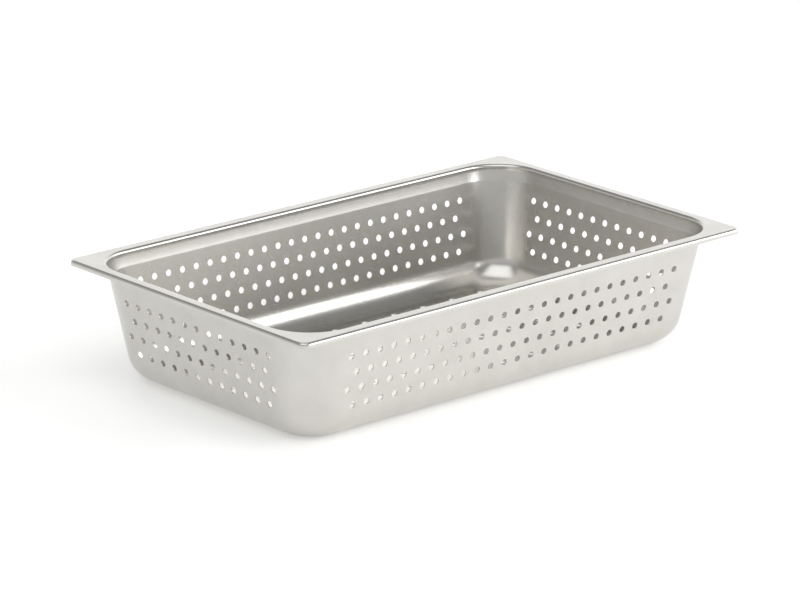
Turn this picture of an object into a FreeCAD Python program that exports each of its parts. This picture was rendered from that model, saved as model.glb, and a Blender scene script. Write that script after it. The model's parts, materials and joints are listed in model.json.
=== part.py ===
import FreeCAD, Part
import Sketcher
import math
import os

# Perforated cheese mold pan, pressed from one sheet of stainless steel.
# Frame: millimetres, +Z up, long side along X, origin at the centre of the face it stands on.

TOP_FACING = FreeCAD.Vector(0, 0, 1)
TILT_AXIS = FreeCAD.Vector(1, 0, 0)
# a wall sketch starts at this tilt, in degrees, until its expression sets the wall's own
START_TILT = 10
# two heights closer than this are the same level
LEVEL_TOLERANCE = 1e-4

# Driving sizes. Lengths are in millimetres, wall_slope is millimetres inward per millimetre down.
SIZES = {
    # rim: a flat flange with a turned-down edge all round
    "rim_length": 530,
    "rim_width": 325,
    "rim_corner_radius": 9,
    "rim_drop": 4.8,
    "rim_bend_radius": 2,
    # flange: from the mouth to the outside of the rim, at the two ends and along the two sides
    "end_flange": 12.5,
    "side_flange": 13.5,
    # mouth: the straight neck that the flange rolls into
    "mouth_corner_radius": 44,
    "lip_radius": 3,
    "neck_drop": 6,
    # shoulder: the step that stops stacked pans from jamming
    "shoulder_step": 1,
    "shoulder_drop": 1.5,
    # walls and base
    "pan_depth": 109,
    "sheet": 0.9,
    "wall_slope": 0.17,
    "base_corner_radius": 38,
    "base_radius": 26,
    # drain holes in the walls: staggered rows, measured up the slope of the wall
    "hole_diameter": 6.2,
    "hole_pitch": 16.26,
    "row_spacing": 16.16,
    "lowest_row_rise": 32.1,
    "top_row_margin": 10,
    "row_end_margin": 50,
    # drain holes in the floor: staggered rows along X, full rows outermost
    "floor_hole_pitch": 36.6,
    "floor_row_spacing": 33.6,
    "floor_margin": 7,
    # how far a hole punch reaches on each side of the sheet's surface
    "punch_reach": 3,
}

# Outline sizes worked out from the driving ones, as expressions on the sheet.
MOUTH = {
    "length": "(Sizes.rim_length - 2 * Sizes.end_flange)",
    "width": "(Sizes.rim_width - 2 * Sizes.side_flange)",
}
MOUTH_OUTER = {
    "length": f"{MOUTH['length']} + 2 * Sizes.sheet",
    "width": f"{MOUTH['width']} + 2 * Sizes.sheet",
    "corner": "Sizes.mouth_corner_radius + Sizes.sheet",
}
WALL_TOP_RISE = "(Sizes.pan_depth - Sizes.neck_drop - Sizes.shoulder_drop)"
SHOULDER_INSET = "2 * Sizes.shoulder_step"
WALL_INSET = f"2 * Sizes.wall_slope * {WALL_TOP_RISE}"
# half of what the wall sketches measure across the pan, where the outer walls meet the base plane
BASE_HALF = {
    across: f"({MOUTH_OUTER[across]} - {SHOULDER_INSET} - {WALL_INSET}) / 2"
    for across in ("length", "width")
}
# how far the base bend eats into the floor
BEND_REACH = "Sizes.base_radius * tan(45 deg - atan(Sizes.wall_slope) / 2)"
# how many holes and rows fit between the margins
WALL_ROW_HOLES = {
    across: f"(floor(({MOUTH[across]} - 2 * Sizes.row_end_margin) / Sizes.hole_pitch) + 1)"
    for across in ("length", "width")
}
WALL_ROW_ROOM = (
    f"({WALL_TOP_RISE} / cos(atan(Sizes.wall_slope)) - Sizes.lowest_row_rise - Sizes.top_row_margin)"
)
ROW_PAIRS = f"floor(({WALL_ROW_ROOM} / Sizes.row_spacing + 1) / 2)"
FLOOR_HALF_ROOM = {
    across: f"({BASE_HALF[across]} - {BEND_REACH} - Sizes.floor_margin)"
    for across in ("length", "width")
}
FLOOR_ROW_HOLES = f"(2 * floor({FLOOR_HALF_ROOM['length']} / Sizes.floor_hole_pitch) + 1)"
FLOOR_FULL_ROWS = f"(floor({FLOOR_HALF_ROOM['width']} / Sizes.floor_row_spacing) + 1)"


def make_sheet(doc):
    """The spreadsheet that holds every driving size under its own name."""
    sheet = doc.addObject("Spreadsheet::Sheet", "Sizes")
    for row, (name, value) in enumerate(SIZES.items(), start=1):
        sheet.set(f"A{row}", name)
        sheet.set(f"B{row}", str(value))
        sheet.setAlias(f"B{row}", name)
    doc.recompute()
    return sheet


def origin_plane(body, role):
    """One of the body's own origin planes, such as XY_Plane."""
    return next(plane for plane in body.Origin.OriginFeatures if plane.Role == role)


def new_sketch(body, name, role, offset):
    """A sketch on an origin plane, moved along the plane's normal by an expression."""
    sketch = body.newObject("Sketcher::SketchObject", name)
    sketch.AttachmentSupport = [(origin_plane(body, role), "")]
    sketch.MapMode = "FlatFace"
    sketch.setExpression("AttachmentOffset.Base.z", offset)
    return sketch


def add_rounded_rectangle(sketch, length, width, corner):
    """A rounded rectangle centred on the origin, with its sizes bound to expressions."""
    half_x = SIZES["rim_length"] / 2
    half_y = SIZES["rim_width"] / 2
    radius = SIZES["mouth_corner_radius"]
    point = FreeCAD.Vector
    in_x = half_x - radius
    in_y = half_y - radius
    sides = [
        Part.LineSegment(point(-in_x, -half_y, 0), point(in_x, -half_y, 0)),
        Part.LineSegment(point(half_x, -in_y, 0), point(half_x, in_y, 0)),
        Part.LineSegment(point(in_x, half_y, 0), point(-in_x, half_y, 0)),
        Part.LineSegment(point(-half_x, in_y, 0), point(-half_x, -in_y, 0)),
    ]
    centres = [
        point(in_x, -in_y, 0),
        point(in_x, in_y, 0),
        point(-in_x, in_y, 0),
        point(-in_x, -in_y, 0),
    ]
    quarter = math.pi / 2
    corners = [
        Part.ArcOfCircle(Part.Circle(centre, TOP_FACING, radius), (turn - 1) * quarter, turn * quarter)
        for turn, centre in enumerate(centres)
    ]
    first = sketch.GeometryCount
    sketch.addGeometry(sides + corners, False)
    side = [first + index for index in range(4)]
    arc = [first + 4 + index for index in range(4)]
    rules = []
    for index in range(4):
        rules.append(Sketcher.Constraint("Tangent", side[index], 2, arc[index], 1))
        rules.append(Sketcher.Constraint("Tangent", arc[index], 2, side[(index + 1) % 4], 1))
        rules.append(Sketcher.Constraint("Vertical" if index % 2 else "Horizontal", side[index]))
    for index in range(1, 4):
        rules.append(Sketcher.Constraint("Equal", arc[0], arc[index]))
    rules.append(Sketcher.Constraint("Symmetric", arc[0], 3, arc[2], 3, -1, 1))
    sketch.addConstraint(rules)
    bound = [
        ("DistanceX", (side[3], 1, side[1], 1), 2 * half_x, length),
        ("DistanceY", (side[0], 1, side[2], 1), 2 * half_y, width),
        ("Radius", (arc[0],), radius, corner),
    ]
    for kind, places, value, expression in bound:
        index = sketch.addConstraint(Sketcher.Constraint(kind, *places, value))
        sketch.setExpression(f"Constraints[{index}]", expression)


def outline(body, name, rise, length, width, corner):
    """A horizontal rounded outline at a height above the base."""
    sketch = new_sketch(body, name, "XY_Plane", rise)
    add_rounded_rectangle(sketch, length, width, corner)
    return sketch


def pan_outlines(body, side, inset, floor_rise):
    """The four outlines, top to bottom, of one surface of the pan.

    inset is twice the distance from the outer surface: nothing outside, two sheets inside.
    """
    length = f"{MOUTH_OUTER['length']} - ({inset})"
    width = f"{MOUTH_OUTER['width']} - ({inset})"
    corner = f"{MOUTH_OUTER['corner']} - ({inset}) / 2"
    wall_inset = f"({SHOULDER_INSET} + {WALL_INSET} - 2 * Sizes.wall_slope * {floor_rise})"
    return [
        outline(body, f"{side}_mouth", "Sizes.pan_depth", length, width, corner),
        outline(body, f"{side}_neck", "Sizes.pan_depth - Sizes.neck_drop", length, width, corner),
        outline(
            body, f"{side}_shoulder", WALL_TOP_RISE,
            f"{length} - {SHOULDER_INSET}",
            f"{width} - {SHOULDER_INSET}",
            f"{corner} - Sizes.shoulder_step",
        ),
        outline(
            body, f"{side}_base", floor_rise,
            f"{length} - {wall_inset}",
            f"{width} - {wall_inset}",
            f"Sizes.base_corner_radius - ({inset}) / 2",
        ),
    ]


def loft(body, kind, name, outlines):
    """A ruled loft through outlines, added to the body or taken from it."""
    feature = body.newObject(f"PartDesign::{kind}", name)
    feature.Profile = outlines[0]
    feature.Sections = outlines[1:]
    feature.Ruled = True
    return feature


def edges_where(shape, test):
    """Names of the edges whose every end and middle pass the test."""
    names = []
    for index, edge in enumerate(shape.Edges, start=1):
        middle = edge.valueAt((edge.FirstParameter + edge.LastParameter) / 2)
        points = [vertex.Point for vertex in edge.Vertexes] + [middle]
        if all(test(point) for point in points):
            names.append(f"Edge{index}")
    return names


def fillet(body, name, radius, test):
    """Round the edges that pass the test, with a radius bound to an expression."""
    base = body.Tip
    names = edges_where(base.Shape, test)
    if not names:
        raise RuntimeError(f"{name}: no edge to round")
    feature = body.newObject("PartDesign::Fillet", name)
    feature.Base = (base, names)
    feature.setExpression("Radius", radius)
    body.Document.recompute()
    return feature


def add_circle(sketch, left, down):
    """A hole outline whose centre is left and down of the sketch's origin by two expressions."""
    start = SIZES["hole_pitch"]
    radius = SIZES["hole_diameter"] / 2
    centre = FreeCAD.Vector(-start, -start, 0)
    circle = sketch.addGeometry(Part.Circle(centre, TOP_FACING, radius), False)
    bound = [
        ("DistanceX", (circle, 3, -1, 1), start, left),
        ("DistanceY", (circle, 3, -1, 1), start, down),
        ("Diameter", (circle,), 2 * radius, "Sizes.hole_diameter"),
    ]
    for kind, places, value, expression in bound:
        index = sketch.addConstraint(Sketcher.Constraint(kind, *places, value))
        sketch.setExpression(f"Constraints[{index}]", expression)


def punch_rows(body, name, sketch, along, across, mirror_role=None):
    """Punch the sketch's hole through the sheet, then repeat it.

    along and across are (number of holes, spacing) pairs of expressions; mirror_role names the
    origin plane that carries the rows to the opposite wall.
    """
    doc = body.Document
    before = body.Tip.Shape.Volume
    punch = body.newObject("PartDesign::Pocket", f"{name}_punch")
    punch.Profile = sketch
    punch.SideType = "Symmetric"
    punch.setExpression("Length", "2 * Sizes.punch_reach")
    doc.recompute()
    if not punch.Shape.Volume < before:
        raise RuntimeError(f"{name}: the punch misses the sheet")
    repeat = body.newObject("PartDesign::MultiTransform", f"{name}_holes")
    repeat.Originals = [punch]
    steps = []
    for step_name, axis, (count, spacing) in (("row", "H_Axis", along), ("rows", "V_Axis", across)):
        step = body.newObject("PartDesign::LinearPattern", f"{name}_{step_name}_pattern")
        step.Direction = (sketch, [axis])
        step.Mode = "Spacing"
        step.setExpression("Occurrences", count)
        step.setExpression("Offset", spacing)
        steps.append(step)
    if mirror_role:
        mirror = body.newObject("PartDesign::Mirrored", f"{name}_mirror")
        mirror.MirrorPlane = (origin_plane(body, mirror_role), [""])
        steps.append(mirror)
    repeat.Transformations = steps
    body.Tip = repeat
    doc.recompute()


def wall_sketch(body, name, role, half_size):
    """A sketch in the outer face of a sloping wall, with its origin where the wall meets the base."""
    sketch = new_sketch(body, name, role, half_size)
    sketch.AttachmentOffset = FreeCAD.Placement(
        FreeCAD.Vector(0, 0, SIZES["rim_width"]), FreeCAD.Rotation(TILT_AXIS, START_TILT)
    )
    sketch.setExpression("AttachmentOffset.Rotation.Angle", "atan(Sizes.wall_slope)")
    return sketch


def punch_wall(body, name, role, along, across):
    """Both kinds of row in the wall that faces the plane and, mirrored, in the wall opposite.

    along and across name the mouth sizes, length and width, that the wall runs along and that
    is measured from it to the opposite wall.

    Counted from the bottom, every first row is one hole short and sits half a pitch in from
    the full row above it.
    """
    holes = WALL_ROW_HOLES[along]
    kinds = [("short", f"({holes} - 1)", "0"), ("full", holes, "Sizes.row_spacing")]
    for kind, count, lift in kinds:
        sketch = wall_sketch(body, f"{name}_{kind}_row", role, BASE_HALF[across])
        add_circle(sketch, f"({count} - 1) / 2 * Sizes.hole_pitch", f"-(Sizes.lowest_row_rise + {lift})")
        along_row = (count, "Sizes.hole_pitch")
        up_wall = (ROW_PAIRS, "2 * Sizes.row_spacing")
        punch_rows(body, f"{name}_{kind}", sketch, along_row, up_wall, role)


def punch_floor(body):
    """Staggered rows in the floor: full rows outermost, shorter rows between them."""
    kinds = [
        ("full", FLOOR_ROW_HOLES, FLOOR_FULL_ROWS),
        ("short", f"({FLOOR_ROW_HOLES} - 1)", f"({FLOOR_FULL_ROWS} - 1)"),
    ]
    for kind, count, rows in kinds:
        sketch = new_sketch(body, f"floor_{kind}_row", "XY_Plane", "Sizes.sheet")
        add_circle(
            sketch,
            f"({count} - 1) / 2 * Sizes.floor_hole_pitch",
            f"({rows} - 1) * Sizes.floor_row_spacing",
        )
        along_row = (count, "Sizes.floor_hole_pitch")
        across_floor = (rows, "2 * Sizes.floor_row_spacing")
        punch_rows(body, f"floor_{kind}", sketch, along_row, across_floor)


def make_pan(doc):
    """The whole pan: solid block, hollowed, rim turned down, bends rounded, then punched."""
    body = doc.addObject("PartDesign::Body", "perforated_pan")
    body.Label = "perforated_pan"
    top = SIZES["pan_depth"]
    sheet = SIZES["sheet"]
    flange_under = top - sheet
    mid_flange_x = (SIZES["rim_length"] - SIZES["end_flange"]) / 2
    mid_flange_y = (SIZES["rim_width"] - SIZES["side_flange"]) / 2

    def level(point, height):
        return abs(point.z - height) < LEVEL_TOLERANCE

    def near_mouth(point):
        return abs(point.x) < mid_flange_x and abs(point.y) < mid_flange_y

    loft(body, "AdditiveLoft", "outside", pan_outlines(body, "outer", "0", "0"))

    rim = outline(
        body, "rim_outline", "Sizes.pan_depth - Sizes.rim_drop",
        "Sizes.rim_length", "Sizes.rim_width", "Sizes.rim_corner_radius",
    )
    flange = body.newObject("PartDesign::Pad", "flange")
    flange.Profile = rim
    flange.setExpression("Length", "Sizes.rim_drop")
    doc.recompute()

    loft(body, "SubtractiveLoft", "inside", pan_outlines(body, "inner", "2 * Sizes.sheet", "Sizes.sheet"))
    doc.recompute()
    fillet(
        body, "inner_base_bend", "Sizes.base_radius - Sizes.sheet",
        lambda point: level(point, sheet),
    )
    fillet(body, "outer_base_bend", "Sizes.base_radius", lambda point: level(point, 0))

    hollow = new_sketch(body, "rim_hollow_outline", "XY_Plane", "Sizes.pan_depth - Sizes.rim_drop")
    add_rounded_rectangle(
        hollow, "Sizes.rim_length - 2 * Sizes.sheet", "Sizes.rim_width - 2 * Sizes.sheet",
        "Sizes.rim_corner_radius - Sizes.sheet",
    )
    add_rounded_rectangle(hollow, MOUTH_OUTER["length"], MOUTH_OUTER["width"], MOUTH_OUTER["corner"])
    before = body.Tip.Shape.Volume
    rim_hollow = body.newObject("PartDesign::Pocket", "rim_hollow")
    rim_hollow.Profile = hollow
    rim_hollow.Reversed = True
    rim_hollow.setExpression("Length", "Sizes.rim_drop - Sizes.sheet")
    doc.recompute()
    if not rim_hollow.Shape.Volume < before:
        raise RuntimeError("the rim is not hollowed from below")

    fillet(
        body, "lip_bend_under", "Sizes.lip_radius - Sizes.sheet",
        lambda point: level(point, flange_under) and near_mouth(point),
    )
    fillet(
        body, "lip_bend", "Sizes.lip_radius",
        lambda point: level(point, top) and near_mouth(point),
    )
    fillet(
        body, "edge_bend_under", "Sizes.rim_bend_radius - Sizes.sheet",
        lambda point: level(point, flange_under) and not near_mouth(point),
    )
    fillet(
        body, "edge_bend", "Sizes.rim_bend_radius",
        lambda point: level(point, top) and not near_mouth(point),
    )

    punch_wall(body, "long_wall", "XZ_Plane", "length", "width")
    punch_wall(body, "short_wall", "YZ_Plane", "width", "length")
    punch_floor(body)
    return body


def check(doc, bodies):
    """Stop before anything is written if a feature failed or a shape is not one valid solid."""
    for item in doc.Objects:
        if "Invalid" in item.State or "Error" in item.State:
            raise RuntimeError(f"{item.Name}: {item.State}")
    for body in bodies:
        shape = body.Shape
        if shape.isNull() or not shape.isValid() or len(shape.Solids) != 1:
            raise RuntimeError(f"{body.Label}: not one valid solid")


def main():
    doc = FreeCAD.newDocument("CheeseMold")
    make_sheet(doc)
    bodies = [make_pan(doc)]
    doc.recompute()
    check(doc, bodies)
    os.makedirs("parts", exist_ok=True)
    for body in bodies:
        body.Shape.exportStep(f"parts/{body.Label}.step")
        box = body.Shape.BoundBox
        print(body.Label, round(box.XLength, 2), round(box.YLength, 2), round(box.ZLength, 2),
              "faces", len(body.Shape.Faces), "volume", round(body.Shape.Volume))


main()
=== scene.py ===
# %% [markdown]
# # A perforated cheese mold pan
# The real pan is one sheet of stainless steel, pressed in a deep-drawing press and then punched
# full of drain holes. It has no joints and no second piece, so all the work goes into the shape
# of the sheet, the holes and the steel itself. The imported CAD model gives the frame: its size,
# its place and the node that the finished shell stands for.

# %% Load the frame
import json
import math
import bmesh
import bpy
from mathutils import Matrix, Quaternion, Vector

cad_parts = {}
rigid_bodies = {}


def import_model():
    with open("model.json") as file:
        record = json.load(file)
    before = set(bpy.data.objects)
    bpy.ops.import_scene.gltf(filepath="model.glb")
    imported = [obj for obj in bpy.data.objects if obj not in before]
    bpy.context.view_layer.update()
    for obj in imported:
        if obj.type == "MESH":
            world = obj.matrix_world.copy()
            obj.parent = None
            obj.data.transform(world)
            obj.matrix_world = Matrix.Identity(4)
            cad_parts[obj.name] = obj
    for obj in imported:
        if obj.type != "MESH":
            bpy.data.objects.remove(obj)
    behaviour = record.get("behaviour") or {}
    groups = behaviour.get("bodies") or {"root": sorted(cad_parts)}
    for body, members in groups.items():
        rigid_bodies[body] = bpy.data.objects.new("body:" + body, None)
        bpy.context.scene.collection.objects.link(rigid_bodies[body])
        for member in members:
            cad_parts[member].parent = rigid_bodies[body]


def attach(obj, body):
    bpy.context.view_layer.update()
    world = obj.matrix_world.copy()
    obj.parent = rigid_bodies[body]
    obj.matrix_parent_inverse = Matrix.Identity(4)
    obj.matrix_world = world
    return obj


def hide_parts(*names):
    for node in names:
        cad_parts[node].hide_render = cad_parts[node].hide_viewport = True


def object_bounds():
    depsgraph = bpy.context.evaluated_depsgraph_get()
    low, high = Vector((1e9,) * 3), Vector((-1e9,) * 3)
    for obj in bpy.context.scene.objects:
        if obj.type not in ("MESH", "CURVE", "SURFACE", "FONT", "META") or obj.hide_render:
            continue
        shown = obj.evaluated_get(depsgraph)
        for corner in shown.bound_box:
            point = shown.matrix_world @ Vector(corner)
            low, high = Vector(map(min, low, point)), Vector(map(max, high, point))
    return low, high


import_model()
cad_low, cad_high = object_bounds()
print("CAD box in metres:", [round(side, 4) for side in cad_high - cad_low])

# %% [markdown]
# The sizes of the pan are written once, in metres with a millimetre as the step. The outside of
# the rim and the depth are read from the frame, so the shell can't drift from the CAD model.

# %% Sizes of the pan
MM = 0.001
SHEET = 0.9 * MM
RIM_X = cad_high.x
RIM_Y = cad_high.y
DEPTH = cad_high.z
RIM_CORNER = 9 * MM
RIM_DROP = 4.8 * MM
# the CAD model has 2 mm here; a rounder bend shows its line of light better
RIM_BEND = 2.8 * MM
MOUTH_X = RIM_X - 12.5 * MM
MOUTH_Y = RIM_Y - 13.5 * MM
MOUTH_CORNER = 44 * MM
LIP_BEND = 3 * MM
NECK_DROP = 6 * MM
SHOULDER_STEP = 1 * MM
SHOULDER_DROP = 1.5 * MM
# the pressed step is soft: it fades into the wall over this height
SHOULDER_FADE = 6.5 * MM
WALL_SLOPE = 0.17
WALL_TILT = math.atan(WALL_SLOPE)
BASE_BEND = 26 * MM - SHEET
BASE_REACH = BASE_BEND * math.tan((math.pi / 2 - WALL_TILT) / 2)
CORNER_STEPS = 20
BASE_BEND_STEPS = 14
LIP_STEPS = 8
RIM_BEND_STEPS = 6
# a narrow strip beside each curve keeps the flat next to it shading flat
STRIP = 1.5 * MM
print("mouth", round(2 * MOUTH_X / MM, 1), "by", round(2 * MOUTH_Y / MM, 1), "mm")

# %% [markdown]
# Both outlines of the pan, the outside of the rim and the mouth, are rectangles with round
# corners. A plane with its four corners bevelled gives each one. Both get the same number of
# points, so that a bridge can join them later without a twist, and a cut on either side of each
# corner leaves a strip of flat steel there.


# %% A plate with round corners
def deselect_all():
    for item in bpy.context.view_layer.objects:
        item.select_set(False)


def rounded_plate(name, half_x, half_y, corner):
    deselect_all()
    bpy.ops.mesh.primitive_plane_add(size=1, location=(0, 0, 0))
    plate = bpy.context.object
    plate.name = name
    bpy.ops.object.mode_set(mode="EDIT")
    bpy.ops.mesh.select_all(action="SELECT")
    bpy.ops.transform.resize(value=(2 * half_x, 2 * half_y, 1), center_override=(0, 0, 0))
    bpy.ops.transform.translate(value=(0, 0, DEPTH))
    bpy.ops.mesh.bevel(offset=corner, offset_type="ABSOLUTE", segments=CORNER_STEPS, affect="VERTICES")
    cuts = [
        (Vector((half_x - corner - STRIP, 0, 0)), Vector((1, 0, 0))),
        (Vector((0, half_y - corner - STRIP, 0)), Vector((0, 1, 0))),
    ]
    for place, across in cuts:
        for side in (-1, 1):
            bpy.ops.mesh.select_all(action="SELECT")
            bpy.ops.mesh.bisect(plane_co=place * side, plane_no=across)
    bpy.ops.mesh.select_all(action="SELECT")
    return plate


# %% [markdown]
# Most steps below act on a few edges or faces of the mesh. They are picked by their place: an
# edge or a face is selected if every one of its corners passes a test.


# %% Selecting by place
NEAR = 0.05 * MM


def select_where(item, kind, test):
    """Select the edges or faces of the edited mesh whose corners all pass, and count them."""
    bpy.ops.mesh.select_mode(type="EDGE" if kind == "edges" else "FACE")
    bpy.ops.mesh.select_all(action="DESELECT")
    mesh = bmesh.from_edit_mesh(item.data)
    chosen = [part for part in getattr(mesh, kind) if all(test(corner.co) for corner in part.verts)]
    for part in chosen:
        part.select_set(True)
    bmesh.update_edit_mesh(item.data)
    return len(chosen)


def at_level(height):
    return lambda place: abs(place.z - height) < NEAR


# %% [markdown]
# The rim of the real pan is a flat flange whose edge is turned down, which makes it stiff and
# safe to grip. The plate is extruded down by the height of the turned edge, and the face at the
# bottom is deleted. An inset keeps a narrow border of the face at the top, which is the outer
# part of the flange, and the middle of that face goes too.

# %% The turned-down edge
rim = rounded_plate("rim_outline", RIM_X, RIM_Y, RIM_CORNER)
bpy.ops.mesh.extrude_region_move(TRANSFORM_OT_translate={"value": (0, 0, -RIM_DROP)})
bpy.ops.mesh.delete(type="FACE")
select_where(rim, "faces", at_level(DEPTH))
bpy.ops.mesh.inset(thickness=RIM_BEND + STRIP)
bpy.ops.mesh.delete(type="FACE")
bpy.ops.object.mode_set(mode="OBJECT")
print("edge band:", len(rim.data.polygons), "faces")

# %% [markdown]
# The bowl of the pan is the second plate, pushed down in steps as the press pushes the sheet: a
# straight neck, the small shoulder that keeps stacked pans from jamming, which is drawn out
# softly into the wall, and the long wall that leans in towards the floor. Extruding and then
# shrinking the moving face gives each step. The wall has two extra steps, close to its ends,
# which are the strips that keep its shading flat. The plate starts a little larger than the
# mouth, and an inset turns the extra into a border, the inner part of the flange.


# %% The bowl
def press_down(drop, inset, half):
    """Push the selected face down and in, and return its new half sizes."""
    bpy.ops.mesh.extrude_region_move(TRANSFORM_OT_translate={"value": (0, 0, -drop)})
    shrunk = Vector((half.x - inset, half.y - inset))
    ratio = (shrunk.x / half.x, shrunk.y / half.y, 1)
    bpy.ops.transform.resize(value=ratio, center_override=(0, 0, 0))
    return shrunk


border = LIP_BEND + STRIP
bowl = rounded_plate("perforated_pan_shell", MOUTH_X + border, MOUTH_Y + border, MOUTH_CORNER + border)
bpy.ops.mesh.inset(thickness=border)
half = Vector((MOUTH_X, MOUTH_Y))
half = press_down(NECK_DROP, 0, half)
half = press_down(SHOULDER_DROP + SHOULDER_FADE, SHOULDER_STEP + WALL_SLOPE * SHOULDER_FADE, half)
wall_height = DEPTH - NECK_DROP - SHOULDER_DROP - SHOULDER_FADE - SHEET
bend_top = BASE_REACH * math.cos(WALL_TILT) + STRIP
for drop in (STRIP, wall_height - STRIP - bend_top, bend_top):
    half = press_down(drop, WALL_SLOPE * drop, half)
print("floor before its bend:", [round(2 * side / MM, 1) for side in half], "mm")

# %% [markdown]
# The floor meets the wall in one wide bend, which lets curd slip out whole. An inset of the
# floor lays a ring of faces for the bend to run into, and then the edge loop between floor and
# wall is bevelled by the reach of the bend.

# %% The base bend
BASE_X, BASE_Y = half


def on_outline(place, half_x, half_y, corner_x, corner_y):
    """True on the rounded outline whose corners are quarter ellipses of the two radii."""
    past_x = max(abs(place.x) - (half_x - corner_x), 0) / corner_x
    past_y = max(abs(place.y) - (half_y - corner_y), 0) / corner_y
    return abs(math.hypot(past_x, past_y) - 1) * min(corner_x, corner_y) < NEAR


bpy.ops.mesh.inset(thickness=BASE_REACH + STRIP, use_even_offset=True)
corner_x = MOUTH_CORNER * BASE_X / MOUTH_X
corner_y = MOUTH_CORNER * BASE_Y / MOUTH_Y
count = select_where(
    bowl,
    "edges",
    lambda place: abs(place.z - SHEET) < NEAR and on_outline(place, BASE_X, BASE_Y, corner_x, corner_y),
)
bpy.ops.mesh.bevel(offset=BASE_REACH, offset_type="OFFSET", segments=BASE_BEND_STEPS, affect="EDGES")
bpy.ops.object.mode_set(mode="OBJECT")
print("base bend along", count, "edges, corner radii", round(corner_x / MM, 1), round(corner_y / MM, 1))

# %% [markdown]
# The rest of the flange lies between the two borders. Once the rim and the bowl are one mesh, a
# bridge between their open loops fills it in, point to point. A bridge finds its way from one
# loop to the other by the line between their middles, so the rim is held above the bowl until it
# is made. Two bevels then roll the sheet: one over the lip, from flange to neck, and one that is
# a little tighter over the outer edge.

# %% The flange and its two bends
deselect_all()
rim.select_set(True)
bpy.ops.transform.translate(value=(0, 0, DEPTH))
bowl.select_set(True)
bpy.context.view_layer.objects.active = bowl
bpy.ops.object.join()
bpy.ops.object.mode_set(mode="EDIT")
bpy.ops.mesh.select_all(action="DESELECT")
bpy.ops.mesh.select_mode(type="EDGE")
bpy.ops.mesh.select_non_manifold()
mesh = bmesh.from_edit_mesh(bowl.data)
turned_edge = at_level(2 * DEPTH - RIM_DROP)
for edge in mesh.edges:
    if turned_edge(edge.verts[0].co):
        edge.select_set(False)
bpy.ops.mesh.bridge_edge_loops()
select_where(bowl, "edges", lambda place: place.z > DEPTH + NEAR)
bpy.ops.transform.translate(value=(0, 0, -DEPTH))

bends = [
    ("lip", LIP_BEND, LIP_STEPS, MOUTH_X, MOUTH_Y, MOUTH_CORNER),
    ("outer edge", RIM_BEND, RIM_BEND_STEPS, RIM_X, RIM_Y, RIM_CORNER),
]
for name, radius, steps, half_x, half_y, corner in bends:
    count = select_where(
        bowl, "edges",
        lambda place: at_level(DEPTH)(place) and on_outline(place, half_x, half_y, corner, corner),
    )
    bpy.ops.mesh.bevel(offset=radius, offset_type="OFFSET", segments=steps, affect="EDGES")
    print("bend of the", name, "along", count, "edges")

# %% [markdown]
# So far the pan is a skin with no thickness: the face that holds the cheese. Its normals have
# to point into the bowl and up from the flange, and then the Solidify modifier gives the sheet
# its 0.9 mm on the other side. Even offset keeps that thickness in the bends.

# %% The thickness of the sheet
bpy.ops.mesh.select_all(action="SELECT")
bpy.ops.mesh.remove_doubles(threshold=NEAR / 5)
bpy.ops.mesh.normals_make_consistent(inside=False)
bpy.ops.object.mode_set(mode="OBJECT")
floor_face = min(bowl.data.polygons, key=lambda face: face.center.z + face.center.xy.length)
if floor_face.normal.z < 0:
    bpy.ops.object.mode_set(mode="EDIT")
    bpy.ops.mesh.select_all(action="SELECT")
    bpy.ops.mesh.flip_normals()
    bpy.ops.object.mode_set(mode="OBJECT")


def apply_modifier(item, kind, **settings):
    """Add a modifier with its settings to an object and apply it."""
    deselect_all()
    item.select_set(True)
    bpy.context.view_layer.objects.active = item
    modifier = item.modifiers.new(kind.title(), kind)
    for name, value in settings.items():
        setattr(modifier, name, value)
    bpy.ops.object.modifier_apply(modifier=modifier.name)


apply_modifier(bowl, "SOLIDIFY", thickness=SHEET, offset=-1, use_even_offset=True)
print("solid sheet:", len(bowl.data.polygons), "faces")

# %% [markdown]
# A punched hole is a straight bore whose two edges are broken a little when the pan is tumbled
# and polished. The cutter is a cylinder that widens at both ends, so one cut makes the bore and
# both broken edges. It is modelled once, and two Array modifiers repeat it along the row and up
# the wall.

# %% The punches
HOLE_RADIUS = 3.1 * MM
HOLE_EDGE = 0.15 * MM
HOLE_SIDES = 24
PUNCH_CLEAR = 1 * MM
HOLE_PITCH = 16.26 * MM
ROW_SPACING = 16.16 * MM
LOWEST_ROW = 32.1 * MM
ROW_PAIRS = 2
LONG_WALL_HOLES = 25
END_WALL_HOLES = 13
FLOOR_PITCH = 36.6 * MM
FLOOR_ROW_SPACING = 33.6 * MM
FLOOR_ROW_HOLES = 11
FLOOR_FULL_ROWS = 4


def punch(name, middle):
    """One cutter, upright, with its middle in the middle of the sheet."""
    deselect_all()
    bpy.ops.mesh.primitive_cylinder_add(
        vertices=HOLE_SIDES, radius=HOLE_RADIUS, depth=SHEET - 2 * HOLE_EDGE, location=middle
    )
    cutter = bpy.context.object
    cutter.name = name
    bpy.ops.object.transform_apply(location=True, rotation=False, scale=False)
    reach = HOLE_EDGE + PUNCH_CLEAR
    widen = 1 + reach / HOLE_RADIUS
    for side in (-1, 1):
        bpy.ops.object.mode_set(mode="EDIT")
        select_where(cutter, "faces", lambda place: (place.z - middle.z) * side > 0)
        bpy.ops.mesh.extrude_region_move(TRANSFORM_OT_translate={"value": (0, 0, side * reach)})
        bpy.ops.transform.resize(value=(widen, widen, 1), center_override=middle)
        bpy.ops.object.mode_set(mode="OBJECT")
    return cutter


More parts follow.
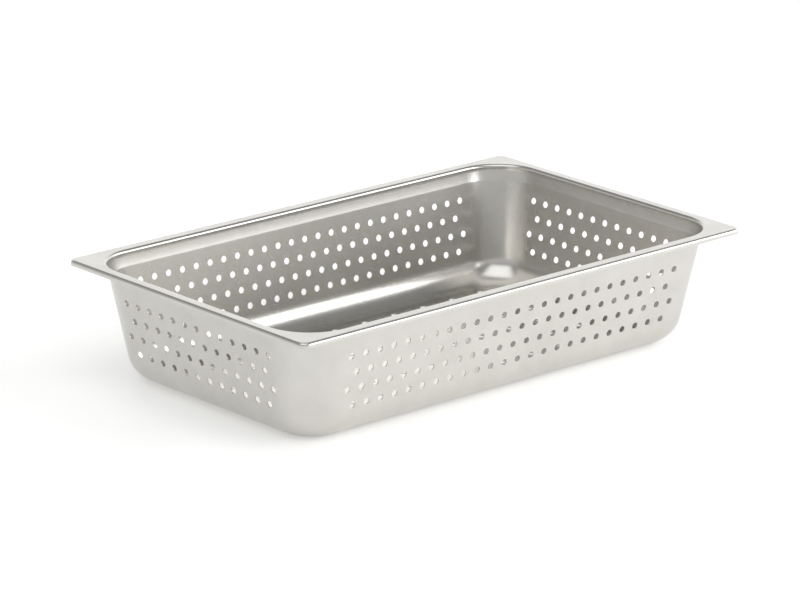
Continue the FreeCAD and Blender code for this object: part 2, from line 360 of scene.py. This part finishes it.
def punch_rows(name, across, rise, row, rows):
    """Rows of cutters lying flat; row and rows are (how many, how far apart)."""
    count, pitch = row
    cutter = punch(name, Vector((-(count - 1) / 2 * pitch, rise, across)))
    steps = [(count, Vector((pitch, 0, 0))), (rows[0], Vector((0, rows[1], 0)))]
    for times, step in steps:
        apply_modifier(
            cutter, "ARRAY", count=times, use_relative_offset=False,
            use_constant_offset=True, constant_offset_displace=step,
        )
    return cutter


def place_object(item, matrix):
    """Move an object by a matrix and write the move into its mesh."""
    deselect_all()
    item.select_set(True)
    bpy.context.view_layer.objects.active = item
    item.matrix_world = matrix @ item.matrix_world
    bpy.ops.object.transform_apply(location=True, rotation=True, scale=True)


# %% [markdown]
# The rows on a wall are measured up its slope, from the line where the outer face would meet
# the ground. Every second row is one hole shorter and sits half a pitch in. A quarter turn at a
# time brings the rows to all four walls.

# %% Rows of punches on the walls and the floor
BASE_LINE = {
    "long": MOUTH_Y + SHEET - SHOULDER_STEP - WALL_SLOPE * (DEPTH - NECK_DROP - SHOULDER_DROP),
    "end": MOUTH_X + SHEET - SHOULDER_STEP - WALL_SLOPE * (DEPTH - NECK_DROP - SHOULDER_DROP),
}
cutters = []
for turn, wall in enumerate(("long", "end", "long", "end")):
    holes = LONG_WALL_HOLES if wall == "long" else END_WALL_HOLES
    for step, count in enumerate((holes - 1, holes)):
        rise = LOWEST_ROW + step * ROW_SPACING
        rows = (ROW_PAIRS, 2 * ROW_SPACING)
        cutter = punch_rows(f"punch_{turn}_{step}", -SHEET / 2, rise, (count, HOLE_PITCH), rows)
        lean = Matrix.Rotation(math.pi / 2 + WALL_TILT, 4, "X")
        push = Matrix.Translation((0, -BASE_LINE[wall], 0))
        place_object(cutter, Matrix.Rotation(turn * math.pi / 2, 4, "Z") @ push @ lean)
        cutters.append(cutter)
for step, count in enumerate((FLOOR_ROW_HOLES, FLOOR_ROW_HOLES - 1)):
    rows = FLOOR_FULL_ROWS - step
    rise = -(rows - 1) * FLOOR_ROW_SPACING
    row = (count, FLOOR_PITCH)
    cutters.append(punch_rows(f"punch_floor_{step}", SHEET / 2, rise, row, (rows, 2 * FLOOR_ROW_SPACING)))

deselect_all()
for cutter in cutters:
    cutter.select_set(True)
bpy.context.view_layer.objects.active = cutters[0]
bpy.ops.object.join()
punches = cutters[0]
print("punches:", len(punches.data.polygons) // (HOLE_SIDES * 3 + 2))

# %% [markdown]
# ## The steel
# The pan is 18/8 stainless steel sheet with a 2B mill finish: cold rolled, annealed, pickled and
# rolled once more between polished rolls. That leaves a bright grey metal with a slightly warm
# cast, smooth enough to mirror the holes in a soft way, with a very fine grain along the rolling
# direction. Pressing draws that grain out down the walls and the tumbled polish softens it. A
# metal's colour is its reflection, so one base colour does most of the work.


# %% Colours and the node helper
SRGB_KNEE = 0.04045


def from_hex(code):
    """An sRGB hex colour as linear red, green, blue and full alpha."""
    shares = [int(code[start:start + 2], 16) / 255 for start in (1, 3, 5)]
    linear = [share / 12.92 if share <= SRGB_KNEE else ((share + 0.055) / 1.055) ** 2.4 for share in shares]
    return (*linear, 1)


def add_node(tree, kind, links=None, **settings):
    """Add a node; settings name its inputs or its own options, links name inputs to feed."""
    node = tree.nodes.new(kind)
    for name, value in settings.items():
        if hasattr(node, name):
            setattr(node, name, value)
        else:
            node.inputs[name.replace("_", " ")].default_value = value
    for name, source in (links or {}).items():
        tree.links.new(source, node.inputs[name])
    return node


STAINLESS_LIGHT = from_hex("#D2D0CB")
STAINLESS_DEEP = from_hex("#C1BFBA")
print("stainless base colour:", [round(share, 3) for share in STAINLESS_LIGHT[:3]])

# %% [markdown]
# The grain is a noise that is stretched along the rolling direction, X, on the floor and the
# flange, and along the height on the walls. Real grain lines are about 0.05 mm apart, too fine
# to show, so they are drawn about 0.6 mm apart. It goes into the roughness and, very faintly,
# into the bump. A broad noise of about 60 mm bends the reflections a little, as the tension in
# pressed sheet does, and a patchy one of about 25 mm varies the roughness, as handling does.

# %% The drawn sheet
GRAIN = 0.6 * MM
GRAIN_LENGTH = 30 * MM
GRAIN_HEIGHT = 0.01 * MM
PATCH = 25 * MM
PATCH_SHARE = 0.4
WAVE = 60 * MM
WAVE_HEIGHT = 0.15 * MM
SMOOTHEST = 0.24
ROUGHEST = 0.28


def sheet_steel():
    material = bpy.data.materials.new("stainless_2b_drawn_sheet")
    material.use_nodes = True
    tree = material.node_tree
    tree.nodes.clear()
    place = add_node(tree, "ShaderNodeTexCoord").outputs["Object"]
    across = (1 / GRAIN_LENGTH, 1 / GRAIN, 1 / GRAIN)
    upright = (1 / GRAIN, 1 / GRAIN, 1 / GRAIN_LENGTH)
    grains = []
    for stretch in (upright, across):
        mapped = add_node(tree, "ShaderNodeMapping", {"Vector": place}, Scale=stretch)
        grain = add_node(
            tree, "ShaderNodeTexNoise", {"Vector": mapped.outputs["Vector"]},
            Scale=1.0, Detail=3.0, Roughness=0.6,
        )
        grains.append(grain.outputs["Fac"])
    normal = add_node(tree, "ShaderNodeNewGeometry").outputs["Normal"]
    height = add_node(tree, "ShaderNodeSeparateXYZ", {"Vector": normal}).outputs["Z"]
    level = add_node(tree, "ShaderNodeMath", {0: height}, operation="ABSOLUTE").outputs[0]
    flat = add_node(tree, "ShaderNodeMapRange", {"Value": level}, From_Min=0.6, From_Max=0.9)
    grain = add_node(
        tree, "ShaderNodeMix",
        {"Factor": flat.outputs["Result"], "A": grains[0], "B": grains[1]},
    ).outputs["Result"]
    patch = add_node(
        tree, "ShaderNodeTexNoise", {"Vector": place}, Scale=1 / PATCH, Detail=4.0, Roughness=0.55
    ).outputs["Fac"]
    wave = add_node(
        tree, "ShaderNodeTexNoise", {"Vector": place}, Scale=1 / WAVE, Detail=1.0
    ).outputs["Fac"]
    blend = add_node(tree, "ShaderNodeMix", {"A": grain, "B": patch}, Factor=PATCH_SHARE).outputs["Result"]
    rough = add_node(
        tree, "ShaderNodeMapRange", {"Value": blend},
        From_Min=0.3, From_Max=0.7, To_Min=SMOOTHEST, To_Max=ROUGHEST,
    ).outputs["Result"]
    # a colour mix takes its two colours on inputs 6 and 7 and gives the result on output 2
    colour = add_node(tree, "ShaderNodeMix", {"Factor": patch}, data_type="RGBA")
    colour.inputs[6].default_value = STAINLESS_LIGHT
    colour.inputs[7].default_value = STAINLESS_DEEP
    wavy = add_node(
        tree, "ShaderNodeBump", {"Height": wave}, Strength=1.0, Distance=WAVE_HEIGHT
    ).outputs["Normal"]
    grainy = add_node(
        tree, "ShaderNodeBump", {"Height": grain, "Normal": wavy}, Strength=0.25, Distance=GRAIN_HEIGHT
    ).outputs["Normal"]
    shader = add_node(
        tree, "ShaderNodeBsdfPrincipled",
        {"Base Color": colour.outputs[2], "Roughness": rough, "Normal": grainy}, Metallic=1.0,
    )
    add_node(tree, "ShaderNodeOutputMaterial", {"Surface": shader.outputs["BSDF"]})
    return material


drawn_sheet = sheet_steel()
print("material:", drawn_sheet.name, "with", len(drawn_sheet.node_tree.nodes), "nodes")

# %% [markdown]
# Inside a punched hole the steel is sheared, not rolled: a burnished upper part and a duller
# torn part below it, with fine lines along the punch's travel. A rougher, slightly darker metal
# gives that, with a tight noise for the torn grain.

# %% The sheared edge of a hole
TORN_GRAIN = 0.3 * MM


def sheared_steel():
    material = bpy.data.materials.new("stainless_sheared_edge")
    material.use_nodes = True
    tree = material.node_tree
    tree.nodes.clear()
    place = add_node(tree, "ShaderNodeTexCoord").outputs["Object"]
    torn = add_node(
        tree, "ShaderNodeTexNoise", {"Vector": place}, Scale=1 / TORN_GRAIN, Detail=2.0
    ).outputs["Fac"]
    rough = add_node(
        tree, "ShaderNodeMapRange", {"Value": torn}, To_Min=0.25, To_Max=0.45
    ).outputs["Result"]
    shader = add_node(
        tree, "ShaderNodeBsdfPrincipled", {"Roughness": rough},
        Metallic=1.0, Base_Color=from_hex("#C6C2BC"),
    )
    add_node(tree, "ShaderNodeOutputMaterial", {"Surface": shader.outputs["BSDF"]})
    return material


sheared_edge = sheared_steel()

# %% [markdown]
# ## Punching and finishing
# Both objects list the same two materials, and every face of the punches uses the second one.
# The boolean cut hands that choice on, so the inside of each hole comes out in sheared steel.
# The pan is then shaded smooth except where it turns sharply, and weighted normals keep the
# large flats truly flat beside their bends.

# %% Cut the holes
CREASE = math.radians(28)
FLATS_WEIGHT = 80
for item, index in ((bowl, 0), (punches, 1)):
    item.data.materials.clear()
    item.data.materials.append(drawn_sheet)
    item.data.materials.append(sheared_edge)
    item.data.polygons.foreach_set("material_index", [index] * len(item.data.polygons))
apply_modifier(bowl, "BOOLEAN", operation="DIFFERENCE", object=punches, solver="MANIFOLD")
bpy.data.objects.remove(punches)
deselect_all()
bowl.select_set(True)
bpy.context.view_layer.objects.active = bowl
bpy.ops.object.shade_smooth_by_angle(angle=CREASE)
apply_modifier(bowl, "WEIGHTED_NORMAL", keep_sharp=True, weight=FLATS_WEIGHT)
print("pan:", len(bowl.data.polygons), "faces")

# %% Put the shell in the frame
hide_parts("perforated_pan")
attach(bowl, "root")

# %% [markdown]
# ## The studio
# Steel shows nothing but its surroundings, so the studio matters as much as the metal. The pan
# stands on a light table, an opal sheet lit softly from below, as used for goods on a white
# ground. A plane with a weak glow of its own does that: it stays white all round and still
# takes a faint shadow beside the pan.

# %% The floor
FLOOR_SIZE = 16.0
FLOOR_GLOW = 0.3
deselect_all()
bpy.ops.mesh.primitive_plane_add(size=FLOOR_SIZE, location=(0, 0, cad_low.z))
studio_floor = bpy.context.object
studio_floor.name = "studio_floor"
table = bpy.data.materials.new("opal_acrylic_light_table")
table.use_nodes = True
table.node_tree.nodes.clear()
table_shader = add_node(
    table.node_tree, "ShaderNodeBsdfPrincipled", Base_Color=from_hex("#F4F4F3"), Roughness=0.6,
    Emission_Color=(1, 1, 1, 1), Emission_Strength=FLOOR_GLOW,
)
add_node(table.node_tree, "ShaderNodeOutputMaterial", {"Surface": table_shader.outputs["BSDF"]})
studio_floor.data.materials.append(table)
print("floor:", FLOOR_SIZE, "m, glow", FLOOR_GLOW)

# %% [markdown]
# The room round the table is drawn in the world's background, which costs nothing to render. It
# is brightest towards the back right, where the flange mirrors it, dimmer on the other sides and
# darkest overhead, where the bends mirror it as thin dark lines.

# %% The room
BRIGHT_SIDE = (0.95, 0.3, 0)
ROOM_BRIGHT = 1.3
ROOM_DIM = 0.72
CEILING = 0.3
# how far a direction leans to the bright side, and how high it rises, where one glow fades into
# the other
SIDE_FADE = (0.2, 0.85)
CEILING_FADE = (0.42, 0.66)
world = bpy.data.worlds.new("bright_room")
bpy.context.scene.world = world
world.use_nodes = True
room_tree = world.node_tree
room_tree.nodes.clear()
direction = add_node(room_tree, "ShaderNodeTexCoord").outputs["Generated"]
facing = add_node(room_tree, "ShaderNodeVectorMath", {0: direction}, operation="DOT_PRODUCT")
facing.inputs[1].default_value = BRIGHT_SIDE
wall_glow = add_node(
    room_tree, "ShaderNodeMapRange", {"Value": facing.outputs["Value"]},
    interpolation_type="SMOOTHSTEP",
    From_Min=SIDE_FADE[0], From_Max=SIDE_FADE[1], To_Min=ROOM_DIM, To_Max=ROOM_BRIGHT,
).outputs["Result"]
rise = add_node(room_tree, "ShaderNodeSeparateXYZ", {"Vector": direction}).outputs["Z"]
overhead = add_node(
    room_tree, "ShaderNodeMapRange", {"Value": rise}, interpolation_type="SMOOTHSTEP",
    From_Min=CEILING_FADE[0], From_Max=CEILING_FADE[1],
).outputs["Result"]
glow = add_node(room_tree, "ShaderNodeMix", {"Factor": overhead, "A": wall_glow}, B=CEILING)
room = add_node(room_tree, "ShaderNodeBackground", {"Strength": glow.outputs["Result"]}, Color=(1, 1, 1, 1))
add_node(room_tree, "ShaderNodeOutputWorld", {"Surface": room.outputs["Background"]})
print("room glow:", ROOM_DIM, "to", ROOM_BRIGHT, "and", CEILING, "overhead")

# %% [markdown]
# Two large soft lights do the rest. A wide one low at the front right gives the white line along
# the bend of the floor and the shadow on the other side. One overhead fills the floor of the
# pan and puts a soft glow into its far corner.


# %% The soft lights
def soft_light(name, towards, distance, width, height, power):
    """A soft light that hangs in a direction from the pan and faces it."""
    lamp = bpy.data.lights.new(name, "AREA")
    lamp.shape = "RECTANGLE"
    lamp.size = width
    lamp.size_y = height
    lamp.energy = power
    holder = bpy.data.objects.new(name, lamp)
    bpy.context.scene.collection.objects.link(holder)
    away = Vector(towards).normalized()
    holder.location = away * distance
    holder.rotation_mode = "QUATERNION"
    holder.rotation_quaternion = away.to_track_quat("Z", "Y")
    return holder


key = soft_light("key_softbox", (0.66, -0.64, 0.42), distance=5.2, width=6.0, height=2.8, power=160)
top = soft_light("top_softbox", (-0.25, -0.18, 0.95), distance=5.0, width=5.0, height=5.0, power=100)
print("lights:", key.name, "and", top.name)

# %% [markdown]
# The camera looks from the front left, a little from above, through a long lens, which keeps the
# far rim nearly as large as the near one.

# %% The camera
AZIMUTH = math.radians(-41.833)
ELEVATION = math.radians(17.617)
ROLL = math.radians(0.406)
DISTANCE = 4.2167
SIDEWAYS = -7.87 * MM
UPWARDS = -51.46 * MM
LENS = 209.56
SENSOR = 36
back = Vector((
    math.sin(AZIMUTH) * math.cos(ELEVATION),
    -math.cos(AZIMUTH) * math.cos(ELEVATION),
    math.sin(ELEVATION),
))
turn = (-back).to_track_quat("-Z", "Y") @ Quaternion((0, 0, 1), ROLL)
camera = bpy.data.objects.new("camera", bpy.data.cameras.new("camera"))
bpy.context.scene.collection.objects.link(camera)
camera.data.lens = LENS
camera.data.sensor_width = SENSOR
camera.rotation_mode = "QUATERNION"
camera.rotation_quaternion = turn
camera.location = Vector((0, 0, DEPTH)) + turn @ Vector((SIDEWAYS, UPWARDS, DISTANCE))
bpy.context.scene.camera = camera
bpy.context.scene.view_settings.view_transform = "Standard"
print("camera:", LENS, "mm lens,", DISTANCE, "m away")
